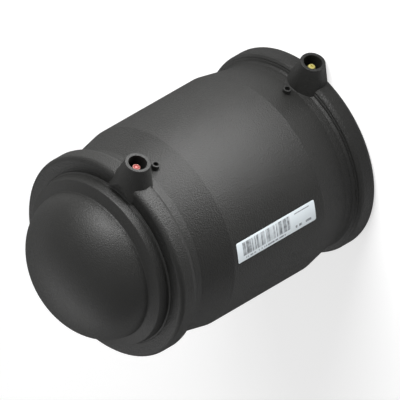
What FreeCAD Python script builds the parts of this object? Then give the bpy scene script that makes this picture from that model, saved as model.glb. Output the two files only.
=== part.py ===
import FreeCAD, Part

import math
import os

# Electrofusion end cap for polyethylene pressure pipe of 90 mm outside diameter.
# A coupler moulding with a heating coil in its bore is closed at its upper end by a domed plug.
# Lengths are millimetres. The open mouth lies on z = 0, +Z runs up the bore to the dome,
# and both terminals point along +X.

Vector = FreeCAD.Vector
ORIGIN = Vector(0, 0, 0)
UP = Vector(0, 0, 1)
OUTWARD = Vector(1, 0, 0)

# Overall sizes
pipe_diameter = 90.0
coupler_length = 137.5
coupler_wall = 9.5

# Bore, in which the pipe and the plug's spigot slide
bore_clearance = 0.5
mouth_chamfer = 1.5

# Outside of the coupler from each end: ring, neck and taper up to the full wall
ring_width = 11.1
ring_edge_radius = 2.5
neck_wall = 5.6
neck_fillet = 2.0
neck_length = 6.35
taper_length = 19.55

# Stop rib half way down the bore, between pipe and plug
stop_thickness = 3.0
stop_height = 3.0

# Heating coil: coated wire wound side by side in two windings, whose turns close up to a band
coated_wire = 2.0
bare_wire = 1.1
winding_start = 16.0
winding_turns = 17
moulded_gap = 0.05

# Terminals: a conical shroud round a contact pin, near each end face
terminal_inset = 6.95
shroud_proud = 10.1
shroud_bore = 9.6
shroud_wall = 1.65
shroud_depth = 12.5
shroud_taper = 15.0
foot_proud = 2.5
foot_setback = 2.5
foot_round = 3.0

# Contact pins, each anchored in the moulding by a thicker root with a flange
pin_diameter = 4.0
pin_root_step = 0.3
pin_below_rim = 3.2
pin_edge = 0.35
flange_overhang = 0.9
flange_thickness = 1.2
flange_cover = 1.4
dimple_diameter = 1.3
dimple_depth = 0.7
coded_shell_wall = 0.45
coded_contact_diameter = 1.3
coded_depth = 7.0

# Fusion indicators: a small pin that the melt lifts in its tube on the taper
indicator_past_neck = 4.9
indicator_below_barrel = 0.1
indicator_bore = 2.7
indicator_wall = 0.775
indicator_clearance = 0.1
indicator_cover = 1.1
indicator_length = 4.2

# Domed plug
plug_wall = 8.2
plug_seat_gap = 1.75
collar_overhang = 1.2
collar_thickness = 4.35
collar_edge = 0.6
shoulder_rise = 2.3
shoulder_inset = 5.3
dome_height = 25.8
dome_knuckle = 19.5
hollow_end_diameter = 36.0
spigot_chamfer = 1.0

# Label: a thin sticker on the barrel
label_length = 54.8
label_width = 11.2
label_thickness = 0.15
label_past_taper = 2.7
label_bearing = -65.3
label_corner = 0.8

# Radii and heights that follow
bore_radius = pipe_diameter / 2 + bore_clearance
body_radius = bore_radius + coupler_wall
neck_radius = bore_radius + neck_wall
neck_end = ring_width + neck_length
taper_end = neck_end + taper_length
recess_radius = bore_radius + coated_wire + moulded_gap
winding_end = winding_start + coated_wire * winding_turns
lead_inner = bore_radius + (coated_wire - bare_wire) / 2
lead_outer = lead_inner + bare_wire
shroud_reach = body_radius + shroud_proud
shroud_floor = shroud_reach - shroud_depth
pin_radius = pin_diameter / 2
pin_root_radius = pin_radius + pin_root_step
flange_radius = pin_root_radius + flange_overhang
pin_tip = shroud_reach - pin_below_rim
flange_top = shroud_floor - flange_cover
flange_bottom = flange_top - flange_thickness
coded_floor = pin_tip - coded_depth
indicator_inset = neck_end + indicator_past_neck
indicator_floor = recess_radius + indicator_cover
indicator_reach = body_radius - indicator_below_barrel


def line(r0, z0, r1, z1):
    """Straight edge between two (radius, height) points of a section."""
    return Part.LineSegment(Vector(r0, 0, z0), Vector(r1, 0, z1)).toShape()


def arc(centre_r, centre_z, radius, start, end):
    """Arc edge about a (radius, height) centre, from one angle to another in degrees."""
    angles = [math.radians(a) for a in (start, (start + end) / 2, end)]
    points = [Vector(centre_r + radius * math.cos(a), 0, centre_z + radius * math.sin(a)) for a in angles]
    return Part.Arc(*points).toShape()


def flats(centre_r, centre_z, radius, start, end, count):
    """Row of straight edges whose ends lie on an arc, for a small round corner."""
    angles = [math.radians(start + (end - start) * step / count) for step in range(count + 1)]
    points = [(centre_r + radius * math.cos(a), centre_z + radius * math.sin(a)) for a in angles]
    return [line(*low, *high) for low, high in zip(points, points[1:])]


def spin(edges):
    """Turn a closed section of edges about the bore's axis."""
    return Part.Face(Part.Wire(edges)).revolve(ORIGIN, UP, 360)


def spin_points(points):
    """Turn a closed outline of (radius, height) points about the bore's axis."""
    outline = Part.makePolygon([Vector(r, 0, z) for r, z in points + points[:1]])
    return Part.Face(outline).revolve(ORIGIN, UP, 360)


def turn_outward(points, height):
    """Turn (reach, radius) points about a line that runs out along +X at this height."""
    outline = Part.makePolygon([Vector(x, 0, height + r) for x, r in points + points[:1]])
    return Part.Face(outline).revolve(Vector(0, 0, height), OUTWARD, 360)


def at_upper_end(shape):
    """Mirror image of a lower-end shape at the upper end of the coupler."""
    return shape.mirror(Vector(0, 0, coupler_length / 2), UP)


def barrel_half():
    """Lower half of the solid outside: rounded end ring, filleted neck, taper and full wall."""
    edge = ring_edge_radius
    root = neck_fillet
    middle = coupler_length / 2
    return spin([
        line(0, 0, body_radius - edge, 0),
        arc(body_radius - edge, edge, edge, -90, 0),
        line(body_radius, edge, body_radius, ring_width - edge),
        *flats(body_radius - edge, ring_width - edge, edge, 0, 90, 3),
        line(body_radius - edge, ring_width, neck_radius + root, ring_width),
        *flats(neck_radius + root, ring_width + root, root, 270, 180, 2),
        line(neck_radius, ring_width + root, neck_radius, neck_end),
        line(neck_radius, neck_end, body_radius, taper_end),
        line(body_radius, taper_end, body_radius, middle),
        line(body_radius, middle, 0, middle),
        line(0, middle, 0, 0),
    ])


def shroud_cone():
    """Cone of the lower terminal shroud, before it is trimmed at the end face."""
    spread = (shroud_reach - bore_radius) * math.tan(math.radians(shroud_taper))
    rim = shroud_bore / 2 + shroud_wall
    return turn_outward([(bore_radius, 0), (bore_radius, rim + spread), (shroud_reach, rim),
                         (shroud_reach, 0)], terminal_inset)


def lower_shroud():
    """Shroud at the open mouth, cut level with the end face on which the cap stands."""
    side = 2 * shroud_reach
    return shroud_cone().common(Part.makeBox(side, side, side, Vector(0, -side / 2, 0)))


def upper_shroud():
    """Shroud at the dome end, whose foot swells over the end face and stops short of the plug."""
    start = bore_radius + foot_setback
    outer = shroud_reach + 1
    inside = neck_end
    bend = foot_round * math.sqrt(0.5)
    drop = foot_proud * math.sqrt(0.5)
    envelope = spin([
        line(start, inside, start, 0),
        Part.Arc(Vector(start, 0, 0), Vector(start + foot_round - bend, 0, -drop),
                 Vector(start + foot_round, 0, -foot_proud)).toShape(),
        line(start + foot_round, -foot_proud, outer, -foot_proud),
        line(outer, -foot_proud, outer, inside),
        line(outer, inside, start, inside),
    ])
    return at_upper_end(shroud_cone().common(envelope))


def indicator_tube():
    """Short tube on the lower taper that guides a fusion indicator."""
    radius = indicator_bore / 2 + indicator_wall
    return turn_outward([(indicator_floor, 0), (indicator_floor, radius), (indicator_reach, radius),
                         (indicator_reach, 0)], indicator_inset)


def indicator_hole():
    """Blind hole of the lower fusion indicator."""
    radius = indicator_bore / 2
    top = indicator_reach + 1
    return turn_outward([(indicator_floor, 0), (indicator_floor, radius), (top, radius), (top, 0)],
                        indicator_inset)


def pin_socket():
    """Space in the moulding for the lower contact pin, up to the rim of its shroud."""
    gap = moulded_gap
    root = pin_root_radius + gap
    flange = flange_radius + gap
    well = shroud_bore / 2
    top = shroud_reach + 1
    return turn_outward([(lead_outer - gap, 0), (lead_outer - gap, root), (flange_bottom - gap, root),
                         (flange_bottom - gap, flange), (flange_top + gap, flange),
                         (flange_top + gap, root), (shroud_floor, root), (shroud_floor, well),
                         (top, well), (top, 0)], terminal_inset)


def bore_space():
    """Bore from end to end, with a lead-in chamfer at each mouth and the stop rib left standing."""
    over = 1.0
    wide = bore_radius + mouth_chamfer + over
    rib = bore_radius - stop_height
    low = (coupler_length - stop_thickness) / 2
    high = low + stop_thickness
    top = coupler_length
    return spin_points([(0, -over), (wide, -over), (bore_radius, mouth_chamfer), (bore_radius, low),
                        (rib, low), (rib, high), (bore_radius, high), (bore_radius, top - mouth_chamfer),
                        (wide, top + over), (0, top + over)])


def winding(outer):
    """Band of the lower winding, out to a given radius."""
    return spin_points([(bore_radius, winding_start), (outer, winding_start), (outer, winding_end),
                        (bore_radius, winding_end)])


def bare_run(low, high, gap=0.0):
    """Straight run of bare wire under the terminals, with a gap round its sides."""
    side = bare_wire + 2 * gap
    return Part.makeBox(side, side, high - low, Vector(lead_inner - gap, -side / 2, low))


def lead(gap=0.0):
    """Run from under the lower contact pin to the winding."""
    return bare_run(terminal_inset - pin_radius - gap, winding_start, gap)


def link(gap=0.0):
    """Run across the middle of the coupler from one winding to the other."""
    return bare_run(winding_end, coupler_length - winding_end, gap)


def coupler_body():
    """The moulding: barrel, shrouds, indicator tubes, bore and the spaces for what it holds."""
    half = barrel_half()
    tube = indicator_tube()
    solid = half.fuse(at_upper_end(half))
    solid = solid.fuse([lower_shroud(), upper_shroud(), tube, at_upper_end(tube)])
    solid = solid.cut(bore_space())
    for space in (winding(recess_radius), lead(moulded_gap), pin_socket(), indicator_hole()):
        solid = solid.cut([space, at_upper_end(space)])
    return solid.cut(link(moulded_gap)).removeSplitter()


def heating_coil():
    """The coil in one piece: lead, winding, link, winding and lead."""
    band = winding(bore_radius + coated_wire)
    return band.fuse([lead(), link(), at_upper_end(band), at_upper_end(lead())])


def pin_root():
    """Outline points of the part of a contact pin that the moulding holds, up to the shroud's floor."""
    root = pin_root_radius
    flange = flange_radius
    return [(lead_outer, 0), (lead_outer, root), (flange_bottom, root), (flange_bottom, flange),
            (flange_top, flange), (flange_top, root), (shroud_floor, root), (shroud_floor, pin_radius)]


def plain_pin():
    """Lower contact pin: one turned piece with a dimple in its tip."""
    dimple = dimple_diameter / 2
    return turn_outward([*pin_root(), (pin_tip - pin_edge, pin_radius), (pin_tip, pin_radius - pin_edge),
                         (pin_tip, dimple), (pin_tip - dimple_depth, dimple),
                         (pin_tip - dimple_depth, 0)], terminal_inset)


def coded_pin_shell():
    """Upper contact pin: a turned tube, closed at its foot, that holds the coding contact."""
    inner = pin_radius - coded_shell_wall
    edge = coded_shell_wall / 3
    return at_upper_end(turn_outward([*pin_root(), (pin_tip - edge, pin_radius),
                                      (pin_tip, pin_radius - edge), (pin_tip, inner),
                                      (coded_floor, inner), (coded_floor, 0)], terminal_inset))


def coded_pin_bush():
    """Coloured bush that keeps the coding contact off the shell."""
    outer = pin_radius - coded_shell_wall - moulded_gap
    inner = coded_contact_diameter / 2 + moulded_gap
    return at_upper_end(turn_outward([(coded_floor, inner), (coded_floor, outer), (pin_tip, outer),
                                      (pin_tip, inner)], terminal_inset))


def coded_pin_contact():
    """Centre contact through which the control box reads the fitting's code."""
    radius = coded_contact_diameter / 2
    return at_upper_end(turn_outward([(coded_floor, 0), (coded_floor, radius), (pin_tip, radius),
                                      (pin_tip, 0)], terminal_inset))


def fusion_indicator():
    """Lower fusion indicator, at rest on the floor of its hole."""
    radius = indicator_bore / 2 - indicator_clearance
    top = indicator_floor + indicator_length
    return turn_outward([(indicator_floor, 0), (indicator_floor, radius), (top, radius), (top, 0)],
                        indicator_inset)


def dome_outside(radius, base):
    """Edges of the dome from its foot to its top: a knuckle arc that runs on into a flatter crown."""
    knuckle = dome_knuckle
    reach = radius - knuckle
    crown = (reach ** 2 + dome_height ** 2 - knuckle ** 2) / (2 * (dome_height - knuckle))
    turn = math.degrees(math.atan2(crown - dome_height, reach))
    return [arc(reach, base, knuckle, 0, turn), arc(0, base + dome_height - crown, crown, turn, 90)]


def end_plug():
    """Domed plug in one moulding: spigot on the stop rib, collar, sloping shoulder and hollow dome."""
    spigot = pipe_diameter / 2
    inner = spigot - plug_wall
    foot = (coupler_length + stop_thickness) / 2
    collar = spigot + collar_overhang
    dome = spigot - shoulder_inset
    hollow = hollow_end_diameter / 2
    edge = collar_edge
    low = coupler_length + plug_seat_gap
    high = low + collar_thickness
    base = high + shoulder_rise
    top = base + dome_height
    ceiling = top - plug_wall
    return spin([
        line(inner, foot, spigot - spigot_chamfer, foot),
        line(spigot - spigot_chamfer, foot, spigot, foot + spigot_chamfer),
        line(spigot, foot + spigot_chamfer, spigot, low),
        line(spigot, low, collar - edge, low),
        line(collar - edge, low, collar, low + edge),
        line(collar, low + edge, collar, high - edge),
        line(collar, high - edge, collar - edge, high),
        line(collar - edge, high, dome, base),
        *dome_outside(dome, base),
        line(0, top, 0, ceiling),
        line(0, ceiling, hollow, ceiling),
        line(hollow, ceiling, inner, low),
        line(inner, low, inner, foot),
    ])


def barcode_label():
    """Sticker with rounded corners, bent round the barrel where the upper taper ends."""
    length = label_length
    width = label_width
    low = coupler_length - taper_end - label_past_taper - length
    plate = Part.makeBox(2 * body_radius, width, length, Vector(0, -width / 2, low))
    corners = [e for e in plate.Edges if abs(e.tangentAt(e.FirstParameter).x) > 0.5]
    plate = plate.makeFillet(label_corner, corners)
    skin = Part.makeCylinder(body_radius + label_thickness, coupler_length)
    skin = skin.cut(Part.makeCylinder(body_radius, coupler_length))
    sticker = skin.common(plate)
    sticker.rotate(ORIGIN, UP, label_bearing)
    return sticker


def export(name, shape):
    """Write one named solid to its STEP file."""
    shape.exportStep("parts/" + name + ".step")


def main():
    """Build every piece and write it."""
    indicator = fusion_indicator()
    os.makedirs("parts", exist_ok=True)
    export("coupler_body", coupler_body())
    export("end_plug", end_plug())
    export("heating_coil", heating_coil())
    export("plain_contact_pin", plain_pin())
    export("coded_pin_shell", coded_pin_shell())
    export("coded_pin_bush", coded_pin_bush())
    export("coded_pin_contact", coded_pin_contact())
    export("lower_fusion_indicator", indicator)
    export("upper_fusion_indicator", at_upper_end(indicator))
    export("barcode_label", barcode_label())


main()
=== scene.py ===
"""Looks of an electrofusion end cap: black moulded plastic with a coil, pins and a sticker.

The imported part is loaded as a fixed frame. The moulding and the pins keep their solids and get a
finish. The domed plug, the wound coil and the sticker are made again with more detail.

Sizes of the cap are millimetres, and turn into metres as a mesh is made. Sizes of the studio and
depths of a finish are metres.
"""

import logging
import math
from dataclasses import dataclass
from enum import Enum
from typing import NamedTuple

import bmesh
import bpy
from mathutils import Matrix, Vector


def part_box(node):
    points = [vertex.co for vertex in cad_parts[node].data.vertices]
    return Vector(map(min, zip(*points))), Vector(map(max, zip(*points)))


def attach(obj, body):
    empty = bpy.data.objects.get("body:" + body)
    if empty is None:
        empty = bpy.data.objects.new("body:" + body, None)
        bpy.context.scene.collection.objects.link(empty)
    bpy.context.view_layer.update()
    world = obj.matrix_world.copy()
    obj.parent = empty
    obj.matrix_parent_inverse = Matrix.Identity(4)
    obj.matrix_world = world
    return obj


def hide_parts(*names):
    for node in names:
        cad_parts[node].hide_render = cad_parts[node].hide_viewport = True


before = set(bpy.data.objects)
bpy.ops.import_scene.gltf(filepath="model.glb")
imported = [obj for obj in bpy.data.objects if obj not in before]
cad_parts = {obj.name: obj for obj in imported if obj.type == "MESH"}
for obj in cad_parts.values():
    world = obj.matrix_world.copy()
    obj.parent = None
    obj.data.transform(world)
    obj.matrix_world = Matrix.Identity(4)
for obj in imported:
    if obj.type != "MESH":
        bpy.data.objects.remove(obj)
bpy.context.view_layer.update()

Colour = tuple[float, float, float]
Span = tuple[float, float]
Socket = bpy.types.NodeSocket

MM = 0.001

# Distances in metres under which two points are one, after a full spin and elsewhere.
MERGED_WITHIN = 1e-7
SAME_WITHIN = 1e-6

# Limits of a pattern's values: all of them, and the band that holds most of a noise pattern's.
WHOLE: Span = (0.0, 1.0)
MIDDLE: Span = (0.35, 0.65)

WHITE: Colour = (1.0, 1.0, 1.0)

LOG = logging.getLogger("end_cap")


class Packed(Enum):
    """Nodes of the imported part."""

    BODY = "coupler_body"
    PLUG = "end_plug"
    COIL = "heating_coil"
    PLAIN_PIN = "plain_contact_pin"
    CODED_SHELL = "coded_pin_shell"
    CODED_BUSH = "coded_pin_bush"
    CODED_CONTACT = "coded_pin_contact"
    LOWER_INDICATOR = "lower_fusion_indicator"
    UPPER_INDICATOR = "upper_fusion_indicator"
    LABEL = "barcode_label"


class Node(Enum):
    """Shader nodes that the finishes use."""

    PLACE = "ShaderNodeTexCoord"
    MAPPING = "ShaderNodeMapping"
    FACING = "ShaderNodeLayerWeight"
    NOISE = "ShaderNodeTexNoise"
    CHANCE = "ShaderNodeTexWhiteNoise"
    WAVE = "ShaderNodeTexWave"
    RANGE = "ShaderNodeMapRange"
    MATHS = "ShaderNodeMath"
    MIX = "ShaderNodeMix"
    BUMP = "ShaderNodeBump"
    ROUNDED = "ShaderNodeBevel"
    SPLIT = "ShaderNodeSeparateXYZ"
    PATH = "ShaderNodeLightPath"
    GLOW = "ShaderNodeEmission"
    ADD = "ShaderNodeAddShader"
    BOARD = "ShaderNodeBsdfDiffuse"


class Sum(Enum):
    """Sums and comparisons that the finishes use."""

    PLUS = "ADD"
    TIMES = "MULTIPLY"
    LARGER = "MAXIMUM"
    ABOVE = "GREATER_THAN"
    BELOW = "LESS_THAN"
    ROUND_DOWN = "FLOOR"


class Metal(Enum):
    """Metals of the contact pins: name, colour and tarnish."""

    BRASS = ("plain_pin_brass", (0.52, 0.47, 0.18), (0.28, 0.24, 0.07))
    PLATING = ("coded_pin_plating", (0.19, 0.095, 0.08), (0.12, 0.048, 0.04))
    CONTACT = ("coded_contact_metal", (0.31, 0.12, 0.11), (0.17, 0.06, 0.052))


class Place(NamedTuple):
    """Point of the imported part."""

    x: float
    y: float
    z: float


@dataclass(frozen=True)
class Speckle:
    """Cloudy pattern: how many clouds fit in a metre, and how many finer layers they have."""

    per_metre: float
    layers: float


class Sheet:
    """Node tree of one material, with short ways to place and join its nodes."""

    def __init__(self, name: str) -> None:
        """Start an empty material with a principled shader and an output.

        Args:
            name: Name of the material.
        """
        self.material = bpy.data.materials.new(name)
        self.material.use_nodes = True
        self.tree = self.material.node_tree
        self.shader = self.tree.nodes["Principled BSDF"]
        self.output = self.tree.nodes["Material Output"]

    def add(self, kind: Node, **settings: object) -> bpy.types.ShaderNode:
        """Place a node.

        Args:
            kind: Sort of node.
            **settings: Properties of the node that are set before its sockets are read.

        Returns:
            The new node.
        """
        node = self.tree.nodes.new(kind.value)
        for key, value in settings.items():
            setattr(node, key, value)
        return node

    def join(self, source: Socket, target: Socket) -> None:
        """Link one socket to another."""
        self.tree.links.new(source, target)

    def drive(self, source: Socket, input_name: str) -> None:
        """Link a socket to one of the shader's own."""
        self.join(source, self.shader.inputs[input_name])

    def fix(self, input_name: str, value: object) -> None:
        """Set one of the shader's own sockets, which then is the same all over the surface."""
        self.shader.inputs[input_name].default_value = value

    def maths(self, operation: Sum, *terms: object) -> Socket:
        """Work out a sum, product or comparison.

        Args:
            operation: What is worked out.
            *terms: Sockets or numbers to work on.

        Returns:
            The socket that holds the result.
        """
        node = self.add(Node.MATHS, operation=operation.value)
        for slot, term in zip(node.inputs, terms):
            if isinstance(term, Socket):
                self.join(term, slot)
            else:
                slot.default_value = term
        return node.outputs[0]

    def noise(self, place: Socket, speckle: Speckle) -> Socket:
        """Cloudy pattern between 0 and 1.

        Args:
            place: Socket with the coordinates.
            speckle: Scale and layers of the pattern.

        Returns:
            The socket with the pattern's value.
        """
        node = self.add(Node.NOISE)
        node.inputs["Scale"].default_value = speckle.per_metre
        node.inputs["Detail"].default_value = speckle.layers
        self.join(place, node.inputs["Vector"])
        return node.outputs["Fac"]

    def spread(self, value: Socket, results: Span, limits: Span = MIDDLE) -> Socket:
        """Stretch a pattern over a range.

        Args:
            value: Socket with the pattern.
            results: What comes out at the pattern's lower and upper limit.
            limits: The pattern's own lower and upper limit.

        Returns:
            The socket with the stretched value.
        """
        node = self.add(Node.RANGE)
        self.join(value, node.inputs["Value"])
        for key, number in zip(("From Min", "From Max", "To Min", "To Max"), (*limits, *results)):
            node.inputs[key].default_value = number
        return node.outputs["Result"]

    def blend(self, share: Socket, first: Colour, second: Colour) -> Socket:
        """Mix two colours.

        Args:
            share: Socket with the share of the second colour.
            first: Colour where the share is 0.
            second: Colour where the share is 1.

        Returns:
            The socket with the mixed colour.
        """
        node = self.add(Node.MIX, data_type="RGBA")
        self.join(share, node.inputs["Factor"])
        node.inputs["A"].default_value = (*first, 1.0)
        node.inputs["B"].default_value = (*second, 1.0)
        return node.outputs["Result"]

    def looking(self) -> Socket:
        """Tell the rays that see a surface, straight or in metal or glass, from other rays.

        Returns:
            A socket that is 1 for a ray that sees the surface and 0 for one that is lit by it.
        """
        path = self.add(Node.PATH).outputs
        mirrored = self.maths(Sum.LARGER, path["Is Glossy Ray"], path["Is Transmission Ray"])
        return self.maths(Sum.LARGER, path["Is Camera Ray"], mirrored)

    def relief(self, height: Socket, depth: float, under: Socket | None = None) -> Socket:
        """Bump the surface by a pattern.

        Args:
            height: Socket with the pattern.
            depth: Height of the bumps in metres.
            under: Normal that the bumps are laid on.

        Returns:
            The socket with the bumped normal.
        """
        node = self.add(Node.BUMP)
        node.inputs["Strength"].default_value = 1.0
        node.inputs["Distance"].default_value = depth
        self.join(height, node.inputs["Height"])
        if under is not None:
            self.join(under, node.inputs["Normal"])
        return node.outputs["Normal"]


class Sky(Sheet):
    """Node tree of the world."""

    def __init__(self, name: str) -> None:
        """Start a world with a plain background.

        Args:
            name: Name of the world.
        """
        world = bpy.data.worlds.new(name)
        bpy.context.scene.world = world
        world.use_nodes = True
        self.tree = world.node_tree
        self.shader = self.tree.nodes["Background"]


@dataclass(frozen=True)
class MouldedPolyethylene:
    """Black pressure-pipe plastic as it leaves a spark-eroded mould: satin, with a fine grain."""

    name: str
    colour: Colour = (0.0080, 0.0080, 0.0075)
    bloom: Colour = (0.0110, 0.0110, 0.0103)
    clouds: Speckle = Speckle(45.0, 4.0)
    cloud_share: Span = (0.4, 1.0)
    specks: Speckle = Speckle(1500.0, 2.0)
    speck_share: Span = (0.3, 1.0)
    specular: float = 0.18
    roughness: float = 0.4
    roughness_swing: float = 0.07
    dulling: float = 0.55
    dulled_from: float = 0.4
    grain: Speckle = Speckle(1400.0, 3.0)
    grain_depth: float = 0.00034
    softened_edge: float = 0.0004
    edge_samples: int = 6

    def dullness(self, sheet: Sheet, specks: Socket) -> Socket:
        """Vary the gloss with the grain, and take it away where the surface turns from the eye.

        Args:
            sheet: Material that is being built.
            specks: Socket with the fine pattern.

        Returns:
            The socket with the roughness.
        """
        swing = (self.roughness - self.roughness_swing, self.roughness + self.roughness_swing)
        facing = sheet.add(Node.FACING).outputs["Facing"]
        turned = sheet.spread(facing, (0.0, self.dulling), (self.dulled_from, 1.0))
        return sheet.maths(Sum.PLUS, sheet.spread(specks, swing), turned)

    def material(self) -> bpy.types.Material:
        """Build the finish.

        Returns:
            The material.
        """
        sheet = Sheet(self.name)
        place = sheet.add(Node.PLACE).outputs["Object"]
        specks = sheet.noise(place, self.specks)
        clouds = sheet.spread(sheet.noise(place, self.clouds), self.cloud_share)
        share = sheet.maths(Sum.TIMES, clouds, sheet.spread(specks, self.speck_share))
        sheet.drive(sheet.blend(share, self.colour, self.bloom), "Base Color")
        sheet.fix("Specular IOR Level", self.specular)
        sheet.drive(self.dullness(sheet, specks), "Roughness")
        rounded = sheet.add(Node.ROUNDED, samples=self.edge_samples)
        rounded.inputs["Radius"].default_value = self.softened_edge
        grain = sheet.noise(place, self.grain)
        sheet.drive(sheet.relief(grain, self.grain_depth, rounded.outputs["Normal"]), "Normal")
        return sheet.material


@dataclass(frozen=True)
class TurnedMetal:
    """Metal off a lathe, with fine rings round the line on which the pin stands."""

    metal: Metal
    height: float
    stains: Speckle = Speckle(700.0, 3.0)
    stain_share: Span = (0.0, 0.8)
    rings_per_metre: float = 900.0
    ring_wobble: float = 1.5
    ring_depth: float = 0.000006
    roughness: Span = (0.42, 0.57)

    def material(self) -> bpy.types.Material:
        """Build the finish.

        Returns:
            The material.
        """
        name, colour, tarnish = self.metal.value
        sheet = Sheet(name)
        mapping = sheet.add(Node.MAPPING)
        mapping.inputs["Location"].default_value = (0.0, 0.0, -self.height * MM)
        sheet.join(sheet.add(Node.PLACE).outputs["Object"], mapping.inputs["Vector"])
        place = mapping.outputs["Vector"]
        wave = sheet.add(Node.WAVE, wave_type="RINGS", rings_direction="X")
        wave.inputs["Scale"].default_value = self.rings_per_metre
        wave.inputs["Distortion"].default_value = self.ring_wobble
        sheet.join(place, wave.inputs["Vector"])
        rings = wave.outputs["Fac"]
        stain = sheet.spread(sheet.noise(place, self.stains), self.stain_share)
        sheet.drive(sheet.blend(stain, colour, tarnish), "Base Color")
        sheet.fix("Metallic", 1.0)
        sheet.drive(sheet.spread(rings, self.roughness, WHOLE), "Roughness")
        sheet.drive(sheet.relief(rings, self.ring_depth), "Normal")
        return sheet.material


@dataclass(frozen=True)
class CodedBush:
    """Red moulded plastic of the bush that marks the coded pin."""

    name: str = "coded_bush_red"
    colour: Colour = (0.15, 0.012, 0.010)
    shade: Colour = (0.10, 0.008, 0.007)
    clouds: Speckle = Speckle(1600.0, 2.0)
    specular: float = 0.2
    roughness: Span = (0.4, 0.55)
    relief_depth: float = 0.00001

    def material(self) -> bpy.types.Material:
        """Build the finish.

        Returns:
            The material.
        """
        sheet = Sheet(self.name)
        clouds = sheet.noise(sheet.add(Node.PLACE).outputs["Object"], self.clouds)
        shaded = sheet.spread(clouds, WHOLE)
        sheet.drive(sheet.blend(shaded, self.colour, self.shade), "Base Color")
        sheet.fix("Specular IOR Level", self.specular)
        sheet.drive(sheet.spread(clouds, self.roughness), "Roughness")
        sheet.drive(sheet.relief(clouds, self.relief_depth), "Normal")
        return sheet.material


@dataclass(frozen=True)
class PrintField:
    """Rectangle of the sticker that takes print, as shares of its length and of its width."""

    along: Span
    across: Span

    def share(self, sheet: Sheet, along: Socket, across: Socket) -> Socket:
        """Mark the rectangle on the sticker's map.

        Args:
            sheet: Material that is being built.
            along: Socket with the place along the sticker.
            across: Socket with the place across the sticker.

        Returns:
            A socket that is 1 in the rectangle and 0 elsewhere.
        """
        bands = [
            sheet.maths(Sum.TIMES, sheet.maths(Sum.ABOVE, value, low),
                        sheet.maths(Sum.BELOW, value, high))
            for value, (low, high) in ((along, self.along), (across, self.across))
        ]
        return sheet.maths(Sum.TIMES, *bands)


@dataclass(frozen=True)
class Strokes:
    """Uneven strokes: places in the sticker's length, share of them left bare, and their order."""

    places: float
    bare: float
    order: float

    def share(self, sheet: Sheet, along: Socket) -> Socket:
        """Mark the strokes.

        Args:
            sheet: Material that is being built.
            along: Socket with the place along the sticker.

        Returns:
            A socket that is 1 on a stroke and 0 between strokes.
        """
        count = sheet.maths(Sum.ROUND_DOWN, sheet.maths(Sum.TIMES, along, self.places))
        chance = sheet.add(Node.CHANCE, noise_dimensions="1D")
        sheet.join(sheet.maths(Sum.PLUS, count, self.order), chance.inputs["W"])
        return sheet.maths(Sum.ABOVE, chance.outputs["Value"], self.bare)


@dataclass(frozen=True)
class PrintedSticker:
    """Pale film with a field of bars and two rows of small marks, read from the sticker's map."""

    name: str = "sticker_film"
    film: Colour = (0.62, 0.67, 0.70)
    ink: Colour = (0.12, 0.13, 0.14)
    code: PrintField = PrintField((0.07, 0.70), (0.24, 0.90))
    fine_bars: Strokes = Strokes(84.0, 0.35, 3.0)
    fine_ink: float = 0.65
    broad_bars: Strokes = Strokes(28.0, 0.45, 70.0)
    broad_ink: float = 0.35
    row: PrintField = PrintField((0.10, 0.62), (0.08, 0.16))
    row_marks: Strokes = Strokes(84.0, 0.40, 40.0)
    notes: PrintField = PrintField((0.74, 0.95), (0.14, 0.26))
    note_marks: Strokes = Strokes(84.0, 0.30, 90.0)
    rule: PrintField = PrintField((0.74, 0.93), (0.82, 0.87))
    wear: Speckle = Speckle(500.0, 3.0)
    worn_ink: Span = (0.55, 1.0)
    specular: float = 0.3
    gloss: Speckle = Speckle(220.0, 2.0)
    roughness: Span = (0.36, 0.52)
    ripples: Speckle = Speckle(160.0, 2.0)
    ripple_depth: float = 0.00004

    def print_share(self, sheet: Sheet, along: Socket, across: Socket) -> Socket:
        """Lay the bars, the two rows of marks and the rule.

        Args:
            sheet: Material that is being built.
            along: Socket with the place along the sticker.
            across: Socket with the place across the sticker.

        Returns:
            The socket with the share of ink, 0 on bare film.
        """
        fine = sheet.maths(Sum.TIMES, self.fine_bars.share(sheet, along), self.fine_ink)
        broad = sheet.maths(Sum.TIMES, self.broad_bars.share(sheet, along), self.broad_ink)
        inked = [
            sheet.maths(Sum.TIMES, strokes, field.share(sheet, along, across))
            for strokes, field in (
                (sheet.maths(Sum.PLUS, fine, broad), self.code),
                (self.row_marks.share(sheet, along), self.row),
                (self.note_marks.share(sheet, along), self.notes),
            )
        ]
        total = self.rule.share(sheet, along, across)
        for share in inked:
            total = sheet.maths(Sum.LARGER, total, share)
        return total

    def material(self) -> bpy.types.Material:
        """Build the finish.

        Returns:
            The material.
        """
        sheet = Sheet(self.name)
        coordinates = sheet.add(Node.PLACE).outputs
        split = sheet.add(Node.SPLIT)
        sheet.join(coordinates["UV"], split.inputs["Vector"])
        place = coordinates["Object"]
        printed = self.print_share(sheet, split.outputs["X"], split.outputs["Y"])
        worn = sheet.spread(sheet.noise(place, self.wear), self.worn_ink)
        ink = sheet.maths(Sum.TIMES, printed, worn)
        sheet.drive(sheet.blend(ink, self.film, self.ink), "Base Color")
        sheet.fix("Specular IOR Level", self.specular)
        sheet.drive(sheet.spread(sheet.noise(place, self.gloss), self.roughness), "Roughness")
        sheet.drive(sheet.relief(sheet.noise(place, self.ripples), self.ripple_depth), "Normal")
        return sheet.material


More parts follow.
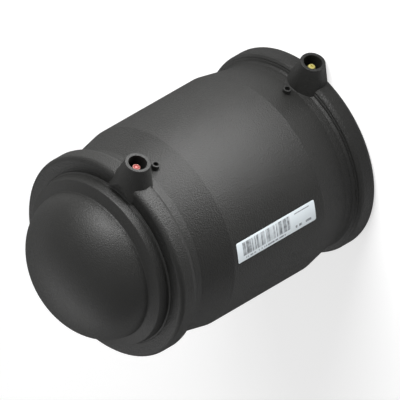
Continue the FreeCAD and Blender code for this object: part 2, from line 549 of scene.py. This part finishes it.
@dataclass(frozen=True)
class Corner:
    """Point of a turned outline, with the rounding that its edge gets."""

    radius: float
    height: float
    rounding: float = 0.0

    def holds(self, vert: bmesh.types.BMVert) -> bool:
        """Tell whether a point of a turned mesh lies on the ring that the corner leaves.

        Args:
            vert: Point of the mesh.

        Returns:
            True where it lies on the ring.
        """
        past = math.hypot(vert.co.x, vert.co.y) - self.radius * MM
        rise = vert.co.z - self.height * MM
        return abs(past) < SAME_WITHIN and abs(rise) < SAME_WITHIN


@dataclass
class Turning:
    """Round piece made by turning an outline about the bore's axis."""

    outline: list[Corner]
    steps: int = 192
    rounding_steps: int = 5

    def shape(self) -> bmesh.types.BMesh:
        """Turn the outline and round its edges.

        Returns:
            The mesh, standing on the bore's axis, in metres.
        """
        bm = bmesh.new()
        verts = [bm.verts.new((c.radius * MM, 0.0, c.height * MM)) for c in self.outline]
        for pair in zip(verts, verts[1:]):
            bm.edges.new(pair)
        bmesh.ops.spin(bm, geom=bm.verts[:] + bm.edges[:], cent=(0, 0, 0), axis=(0, 0, 1),
                       dvec=(0, 0, 0), angle=math.tau, steps=self.steps, use_merge=True)
        bmesh.ops.remove_doubles(bm, verts=bm.verts[:], dist=MERGED_WITHIN)
        for corner in self.outline:
            if corner.rounding > 0.0:
                self.round_edge(bm, corner)
        bmesh.ops.recalc_face_normals(bm, faces=bm.faces[:])
        return bm

    def round_edge(self, bm: bmesh.types.BMesh, corner: Corner) -> None:
        """Round the ring of edges that a corner leaves.

        Args:
            bm: The turned mesh.
            corner: Corner whose edge is rounded.
        """
        ring = [edge for edge in bm.edges if all(corner.holds(vert) for vert in edge.verts)]
        bmesh.ops.bevel(bm, geom=ring, offset=corner.rounding * MM, offset_type="OFFSET",
                        segments=self.rounding_steps, profile=0.5, affect="EDGES", material=-1)


@dataclass(frozen=True)
class ShownPiece:
    """Name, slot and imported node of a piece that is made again, and the angle of its creases."""

    name: str
    slot: str
    stands_for: Packed
    crease: float

    def finished(self, bm: bmesh.types.BMesh, material: bpy.types.Material) -> bpy.types.Object:
        """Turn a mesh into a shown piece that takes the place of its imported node.

        Args:
            bm: The mesh, which is used up.
            material: Its finish.

        Returns:
            The new object.
        """
        for face in bm.faces:
            face.smooth = True
        sharp = math.radians(self.crease)
        for edge in bm.edges:
            edge.smooth = len(edge.link_faces) == 2 and edge.calc_face_angle(0.0) < sharp
        mesh = bpy.data.meshes.new(self.name)
        bm.to_mesh(mesh)
        bm.free()
        mesh.materials.append(material)
        piece = bpy.data.objects.new(self.name, mesh)
        bpy.context.scene.collection.objects.link(piece)
        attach(piece, "root")
        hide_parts(self.stands_for.value)
        return piece


def corners(node: Packed) -> tuple[Place, Place]:
    """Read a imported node's box.

    Args:
        node: The node.

    Returns:
        Its lowest and its highest corner, to the hundredth of a millimetre.
    """
    low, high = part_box(node.value)
    return Place(*(round(v / MM, 2) for v in low)), Place(*(round(v / MM, 2) for v in high))


def pin_height(node: Packed) -> float:
    """Height of a contact pin's line above the floor."""
    low, high = corners(node)
    return round((low.z + high.z) / 2, 2)


def coupler_length() -> float:
    """Length of the moulding, whose two pins stand at the same distance from its ends."""
    return pin_height(Packed.PLAIN_PIN) + pin_height(Packed.CODED_SHELL)


def dress(node: Packed, material: bpy.types.Material) -> bpy.types.Object:
    """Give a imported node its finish.

    Args:
        node: The node.
        material: Its finish.

    Returns:
        The node's object.
    """
    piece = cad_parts[node.value]
    piece.data.materials.clear()
    piece.data.materials.append(material)
    return piece


@dataclass
class DomedPlug:
    """Plug in the upper end: hollow spigot, collar that leans in, sloping shoulder and dome.

    A strip under the collar, a lip on the ring's face and a cove in the ring's mouth close the
    groove between collar and ring. strip_top, strip_foot and cove say how far their points lie
    from the collar's radius, and how far from the seat or the ring's face.
    """

    collar: float
    foot: float
    crown: float
    ring_face: float
    dome: float = 39.7
    dome_height: float = 25.8
    dome_points: int = 40
    knuckle_round: float = 0.5
    collar_overhang: float = 1.2
    collar_gap: float = 1.75
    collar_thickness: float = 4.35
    collar_lean: float = 0.8
    collar_rounds: Span = (0.15, 0.35)
    strip_top: Span = (0.25, 0.10)
    strip_foot: Span = (0.10, 0.45)
    lip_reach: float = 0.75
    cove: Span = (0.05, 0.7)
    cove_end: float = 1.8
    foot_chamfer: float = 1.0
    foot_round: float = 0.5
    wall: float = 8.2
    hollow_end: float = 18.0
    hollow_rounds: Span = (6.0, 4.0)
    piece: ShownPiece = ShownPiece("domed_plug", "plug_pe", Packed.PLUG, crease=50.0)

    @classmethod
    def packed(cls) -> "DomedPlug":
        """Take the plug's main sizes from the frame."""
        low, high = corners(Packed.PLUG)
        return cls(collar=high.x, foot=low.z, crown=high.z, ring_face=coupler_length())

    def dome_side(self) -> list[Corner]:
        """List the points of the dome, from the crown down to the knuckle.

        Returns:
            The points.
        """
        low = self.crown - self.dome_height
        turns = [math.pi / 2 * (1 - i / self.dome_points) for i in range(self.dome_points)]
        return [
            Corner(self.dome * math.cos(t), low + self.dome_height * math.sin(t)) for t in turns
        ]

    def lip(self) -> list[Corner]:
        """List the points of the strip and the lip that close the groove under the collar.

        Returns:
            The points, from the collar down into the chamfer of the ring's mouth.
        """
        inset, drop = self.strip_top
        foot_inset, foot_rise = self.strip_foot
        cove_reach, cove_drop = self.cove
        return [
            Corner(self.collar - inset, self.ring_face + self.collar_gap - drop),
            Corner(self.collar - foot_inset, self.ring_face + foot_rise),
            Corner(self.collar + self.lip_reach, self.ring_face),
            Corner(self.collar + cove_reach, self.ring_face - cove_drop),
        ]

    def outline(self) -> list[Corner]:
        """List the plug's outline from the crown, down the outside and back up the hollow.

        Returns:
            The points.
        """
        seat = self.ring_face + self.collar_gap
        spigot = self.collar - self.collar_overhang
        inner = spigot - self.wall
        ceiling = self.crown - self.wall
        low_round, top_round = self.collar_rounds
        side_round, ceiling_round = self.hollow_rounds
        return [
            *self.dome_side(),
            Corner(self.dome, self.crown - self.dome_height, self.knuckle_round),
            Corner(self.collar - self.collar_lean, seat + self.collar_thickness, top_round),
            Corner(self.collar, seat, low_round),
            *self.lip(),
            Corner(spigot, self.ring_face - self.cove_end),
            Corner(spigot, self.foot + self.foot_chamfer),
            Corner(spigot - self.foot_chamfer, self.foot),
            Corner(inner, self.foot, self.foot_round),
            Corner(inner, seat, side_round),
            Corner(self.hollow_end, ceiling, ceiling_round),
            Corner(0.0, ceiling),
        ]

    def build(self, finish: MouldedPolyethylene) -> bpy.types.Object:
        """Make the plug.

        Args:
            finish: Its plastic.

        Returns:
            The plug's object.
        """
        return self.piece.finished(Turning(self.outline()).shape(), finish.material())


@dataclass
class HeatingCoil:
    """Coated wire wound side by side at the bore's surface, with bare runs to the pins."""

    outside: float
    leads: Span
    length: float
    coat: float = 1.0
    bare: float = 0.55
    lead_gap: float = 0.05
    turns: int = 17
    end_space: float = 16.0
    steps_per_turn: int = 72
    sides: int = 10
    bare_sides: int = 16
    piece: ShownPiece = ShownPiece("wound_coil", "coil", Packed.COIL, crease=60.0)

    @classmethod
    def packed(cls) -> "HeatingCoil":
        """Take the coil's main sizes from the frame."""
        low, high = corners(Packed.COIL)
        return cls(outside=high.x, leads=(low.z, high.z), length=coupler_length())

    def at(self, height: float) -> Matrix:
        """Place of the wire at the bore's terminal side, at a height."""
        return Matrix.Translation(((self.outside - self.coat) * MM, 0.0, height * MM))

    def first_turn(self, height: float) -> bmesh.types.BMesh:
        """Wind the lowest turn of coated wire.

        Args:
            height: Height of the wire's line where the turn starts.

        Returns:
            The mesh with the turn, which the rest of the coil is added to.
        """
        bm = bmesh.new()
        upright = Matrix.Rotation(math.pi / 2, 4, "X")
        bmesh.ops.create_circle(bm, segments=self.sides, radius=self.coat * MM,
                                matrix=self.at(height) @ upright)
        rise = 2 * self.coat * MM / self.steps_per_turn
        bmesh.ops.spin(bm, geom=bm.verts[:] + bm.edges[:], cent=(0, 0, 0), axis=(0, 0, 1),
                       dvec=(0, 0, rise), angle=math.tau, steps=self.steps_per_turn,
                       use_merge=False)
        return bm

    def repeat(self, bm: bmesh.types.BMesh, rise: float, times: int) -> None:
        """Copy all that is there up the bore.

        Args:
            bm: Mesh that holds what is copied.
            rise: Distance from one copy to the next.
            times: How many copies are added.
        """
        pattern = bm.verts[:] + bm.edges[:] + bm.faces[:]
        for copy in range(1, times + 1):
            made = bmesh.ops.duplicate(bm, geom=pattern)["geom"]
            verts = [item for item in made if isinstance(item, bmesh.types.BMVert)]
            bmesh.ops.translate(bm, verts=verts, vec=(0, 0, copy * rise * MM))
        bmesh.ops.remove_doubles(bm, verts=bm.verts[:], dist=SAME_WITHIN)

    def straight(self, bm: bmesh.types.BMesh, low: float, high: float) -> None:
        """Lay one bare run along the bore.

        Args:
            bm: Mesh that takes the run.
            low: Height of its lower end.
            high: Height of its upper end.
        """
        bmesh.ops.create_cone(bm, cap_ends=True, segments=self.bare_sides,
                              radius1=self.bare * MM, radius2=self.bare * MM,
                              depth=(high - low) * MM, matrix=self.at((low + high) / 2))

    def build(self, finish: MouldedPolyethylene) -> bpy.types.Object:
        """Make the coil.

        Args:
            finish: The wire's coat.

        Returns:
            The coil's object.
        """
        pitch = 2 * self.coat
        first = self.end_space + self.coat
        run = (self.turns - 1) * pitch
        second = self.length - first - run
        bm = self.first_turn(first)
        self.repeat(bm, pitch, self.turns - 2)
        self.repeat(bm, second - first, 1)
        self.straight(bm, self.leads[0] + self.lead_gap, first)
        self.straight(bm, first + run, second)
        self.straight(bm, second + run, self.leads[1] - self.lead_gap)
        open_ends = [edge for edge in bm.edges if edge.is_boundary]
        bmesh.ops.holes_fill(bm, edges=open_ends, sides=self.sides)
        bmesh.ops.recalc_face_normals(bm, faces=bm.faces[:])
        return self.piece.finished(bm, finish.material())


@dataclass
class Sticker:
    """Thin printed film with rounded corners, bent round the barrel."""

    barrel: float
    ends: Span
    width: float = 11.2
    film: float = 0.14
    glue: float = 0.01
    corner: float = 0.8
    corner_steps: int = 6
    bearing: float = -65.3
    strips: int = 28
    piece: ShownPiece = ShownPiece("printed_sticker", "label", Packed.LABEL, crease=40.0)

    @classmethod
    def packed(cls) -> "Sticker":
        """Take the barrel's radius and the sticker's ends from the frame."""
        low, high = corners(Packed.LABEL)
        return cls(barrel=-corners(Packed.BODY)[0].x, ends=(low.z, high.z))

    def flat(self) -> bmesh.types.BMesh:
        """Cut the flat sticker, with its map laid on it.

        Returns:
            The flat mesh: x runs across the sticker and y along it, in metres.
        """
        bm = bmesh.new()
        across, along = self.width * MM, (self.ends[1] - self.ends[0]) * MM
        bmesh.ops.create_grid(bm, x_segments=1, y_segments=1, size=0.5,
                              matrix=Matrix.Diagonal((across, along, 1.0, 1.0)))
        bmesh.ops.bevel(bm, geom=bm.verts[:], offset=self.corner * MM, offset_type="OFFSET",
                        segments=self.corner_steps, profile=0.5, affect="VERTICES",
                        material=-1)
        for step in range(1, self.strips):
            cut = (step / self.strips - 0.5) * across
            bmesh.ops.bisect_plane(bm, geom=bm.verts[:] + bm.edges[:] + bm.faces[:],
                                   plane_co=(cut, 0.0, 0.0), plane_no=(1.0, 0.0, 0.0))
        layer = bm.loops.layers.uv.new("print")
        for face in bm.faces:
            for loop in face.loops:
                place = loop.vert.co
                loop[layer].uv = (0.5 - place.y / along, 0.5 + place.x / across)
        return bm

    def bend(self, bm: bmesh.types.BMesh) -> None:
        """Bend the film on to the barrel.

        Args:
            bm: The flat film, with its thickness.
        """
        middle = sum(self.ends) / 2 * MM
        for vert in bm.verts:
            radius = (self.barrel + self.glue) * MM + abs(vert.co.z)
            turn = math.radians(self.bearing) + vert.co.x / (self.barrel * MM)
            vert.co = Vector((radius * math.cos(turn), radius * math.sin(turn),
                              middle + vert.co.y))

    def build(self, finish: PrintedSticker) -> bpy.types.Object:
        """Make the sticker and bend it on to the barrel.

        Args:
            finish: Its film and print.

        Returns:
            The sticker's object.
        """
        bm = self.flat()
        bmesh.ops.solidify(bm, geom=bm.faces[:], thickness=-self.film * MM)
        self.bend(bm)
        bmesh.ops.recalc_face_normals(bm, faces=bm.faces[:])
        return self.piece.finished(bm, finish.material())


@dataclass
class Terminals:
    """Contact pins and fusion indicators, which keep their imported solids."""

    plain_height: float
    coded_height: float

    @classmethod
    def packed(cls) -> "Terminals":
        """Take the heights of the pins from the frame."""
        return cls(pin_height(Packed.PLAIN_PIN), pin_height(Packed.CODED_SHELL))

    def dress(self, indicator: MouldedPolyethylene) -> list[bpy.types.Object]:
        """Give the pins and the indicators their finishes.

        Args:
            indicator: Plastic of the fusion indicators.

        Returns:
            The objects that were dressed.
        """
        brass = TurnedMetal(Metal.BRASS, self.plain_height)
        plating = TurnedMetal(Metal.PLATING, self.coded_height)
        contact = TurnedMetal(Metal.CONTACT, self.coded_height)
        plastic = indicator.material()
        return [
            dress(Packed.PLAIN_PIN, brass.material()),
            dress(Packed.CODED_SHELL, plating.material()),
            dress(Packed.CODED_CONTACT, contact.material()),
            dress(Packed.CODED_BUSH, CodedBush().material()),
            dress(Packed.LOWER_INDICATOR, plastic),
            dress(Packed.UPPER_INDICATOR, plastic),
        ]


def towards(azimuth: float, elevation: float) -> Vector:
    """Direction from the part, as an azimuth from -Y towards +X and a height above the floor."""
    turn, rise = math.radians(azimuth), math.radians(elevation)
    return Vector((math.sin(turn) * math.cos(rise), -math.cos(turn) * math.cos(rise),
                   math.sin(rise)))


@dataclass(frozen=True)
class Softbox:
    """Flat lamp that faces the part."""

    name: str
    azimuth: float
    elevation: float
    distance: float
    width: float
    height: float
    level: float

    def light(self) -> bpy.types.Object:
        """Make the lamp, with a face as bright as its level says.

        Returns:
            The lamp, which isn't placed yet.
        """
        light = bpy.data.lights.new(self.name, "AREA")
        light.shape = "RECTANGLE"
        light.size = self.width
        light.size_y = self.height
        light.energy = self.level * math.pi * self.width * self.height
        lamp = bpy.data.objects.new(self.name, light)
        lamp.visible_camera = False
        return lamp

    def hang(self, aim: Vector) -> bpy.types.Object:
        """Hang the lamp so that it faces the part.

        Args:
            aim: Point of the part that it faces.

        Returns:
            The lamp.
        """
        lamp = self.light()
        direction = towards(self.azimuth, self.elevation)
        lamp.location = aim + direction * self.distance
        lamp.rotation_euler = (-direction).to_track_quat("-Z", "Y").to_euler()
        return lamp


@dataclass(frozen=True)
class LyingPanel(Softbox):
    """Flat lamp that lies just above the floor and faces up."""

    clearance: float = 2.0 * MM

    def hang(self, aim: Vector) -> bpy.types.Object:
        """Lay the lamp on the floor, with its distance taken from the bore's axis.

        Args:
            aim: Not used, because this lamp faces straight up.

        Returns:
            The lamp.
        """
        lamp = self.light()
        lamp.location = towards(self.azimuth, self.elevation) * self.distance
        lamp.location.z += self.clearance
        lamp.rotation_euler = (math.pi, 0.0, math.radians(self.azimuth))
        return lamp


LAMPS = (
    Softbox("key_softbox", azimuth=107.0, elevation=28.0, distance=0.9,
            width=0.56, height=0.95, level=3.6),
    Softbox("side_softbox", azimuth=99.0, elevation=13.0, distance=0.55,
            width=0.32, height=0.32, level=12.0),
    LyingPanel("low_panel", azimuth=89.0, elevation=0.0, distance=0.32,
               width=0.24, height=0.40, level=11.0),
    Softbox("top_softbox", azimuth=20.0, elevation=72.0, distance=1.0,
            width=0.5, height=0.5, level=0.4),
    Softbox("back_softbox", azimuth=258.0, elevation=38.0, distance=0.8,
            width=0.6, height=0.6, level=1.4),
)


@dataclass
class Studio:
    """Pale floor, soft lamps, white surroundings and the photograph's camera."""

    aim: Place = Place(0.5, 0.866, 69.3)
    lamps: tuple[Softbox, ...] = LAMPS
    surrounding_level: float = 0.12
    floor_reach: float = 12.0
    floor_colour: Colour = (0.55, 0.55, 0.55)
    floor_glow: float = 0.64
    camera_azimuth: float = 60.0
    camera_elevation: float = 35.264
    camera_roll: float = -120.0
    camera_distance: float = 8.3
    camera_range: float = 50.0
    photo_width: float = 200.3 * MM
    sensor: float = 36.0

    def target(self) -> Vector:
        """Point at which the camera and the lamps look, in metres."""
        return Vector(self.aim) * MM

    def link(self, thing: bpy.types.Object) -> None:
        """Put a thing in the scene."""
        bpy.context.scene.collection.objects.link(thing)

    def paper(self) -> bpy.types.Material:
        """Build the floor's finish: grey board that glows for the rays that look at it.

        Returns:
            The material.
        """
        sheet = Sheet("floor_paper")
        board = sheet.add(Node.BOARD)
        board.inputs["Color"].default_value = (*self.floor_colour, 1.0)
        glow = sheet.add(Node.GLOW)
        level = sheet.maths(Sum.TIMES, sheet.looking(), self.floor_glow)
        sheet.join(level, glow.inputs["Strength"])
        both = sheet.add(Node.ADD)
        sheet.join(board.outputs["BSDF"], both.inputs[0])
        sheet.join(glow.outputs["Emission"], both.inputs[1])
        sheet.join(both.outputs["Shader"], sheet.output.inputs["Surface"])
        return sheet.material

    def floor(self) -> None:
        """Lay the floor, white to the camera but for the part's shadow."""
        bm = bmesh.new()
        bmesh.ops.create_grid(bm, x_segments=2, y_segments=2, size=self.floor_reach)
        mesh = bpy.data.meshes.new("studio_floor")
        bm.to_mesh(mesh)
        bm.free()
        mesh.materials.append(self.paper())
        floor = bpy.data.objects.new("studio_floor", mesh)
        self.link(floor)

    def surroundings(self) -> None:
        """Set the world: white where it is seen, an even grey where it only gives light."""
        sky = Sky("surroundings")
        sky.fix("Color", (*WHITE, 1.0))
        sky.drive(sky.spread(sky.looking(), (self.surrounding_level, 1.0), WHOLE), "Strength")

    def camera(self) -> None:
        """Place the long-lens camera that gives the photograph's view."""
        data = bpy.data.cameras.new("photo_camera")
        data.sensor_width = self.sensor
        data.lens = self.sensor * self.camera_distance / self.photo_width
        data.clip_end = self.camera_range
        camera = bpy.data.objects.new("photo_camera", data)
        back = towards(self.camera_azimuth, self.camera_elevation)
        camera.location = self.target() + back * self.camera_distance
        level = (-back).to_track_quat("-Z", "Y").to_matrix()
        turned = level @ Matrix.Rotation(math.radians(self.camera_roll), 3, "Z")
        camera.rotation_euler = turned.to_euler()
        self.link(camera)
        bpy.context.scene.camera = camera

    def build(self) -> None:
        """Set up the whole studio."""
        self.floor()
        for softbox in self.lamps:
            self.link(softbox.hang(self.target()))
            LOG.info("lamp %s", softbox.name)
        self.surroundings()
        self.camera()
        bpy.context.scene.view_settings.view_transform = "Standard"


def main() -> None:
    """Build each part of the cap, then the studio round it."""
    logging.basicConfig(level=logging.INFO, format="%(name)s %(message)s")
    body = MouldedPolyethylene("body_polyethylene")
    plug = MouldedPolyethylene("plug_polyethylene", specular=0.24, roughness=0.46,
                               grain_depth=0.00018)
    wire = MouldedPolyethylene("coated_wire", colour=(0.035, 0.033, 0.030), bloom=body.colour,
                               roughness=0.3)
    pieces = [
        dress(Packed.BODY, body.material()),
        DomedPlug.packed().build(plug),
        HeatingCoil.packed().build(wire),
        Sticker.packed().build(PrintedSticker()),
        *Terminals.packed().dress(MouldedPolyethylene("indicator_plastic")),
    ]
    for piece in pieces:
        LOG.info("%s: %d faces, %s", piece.name, len(piece.data.polygons),
                 piece.data.materials[0].name)
    Studio().build()


if __name__ == "__main__":
    main()
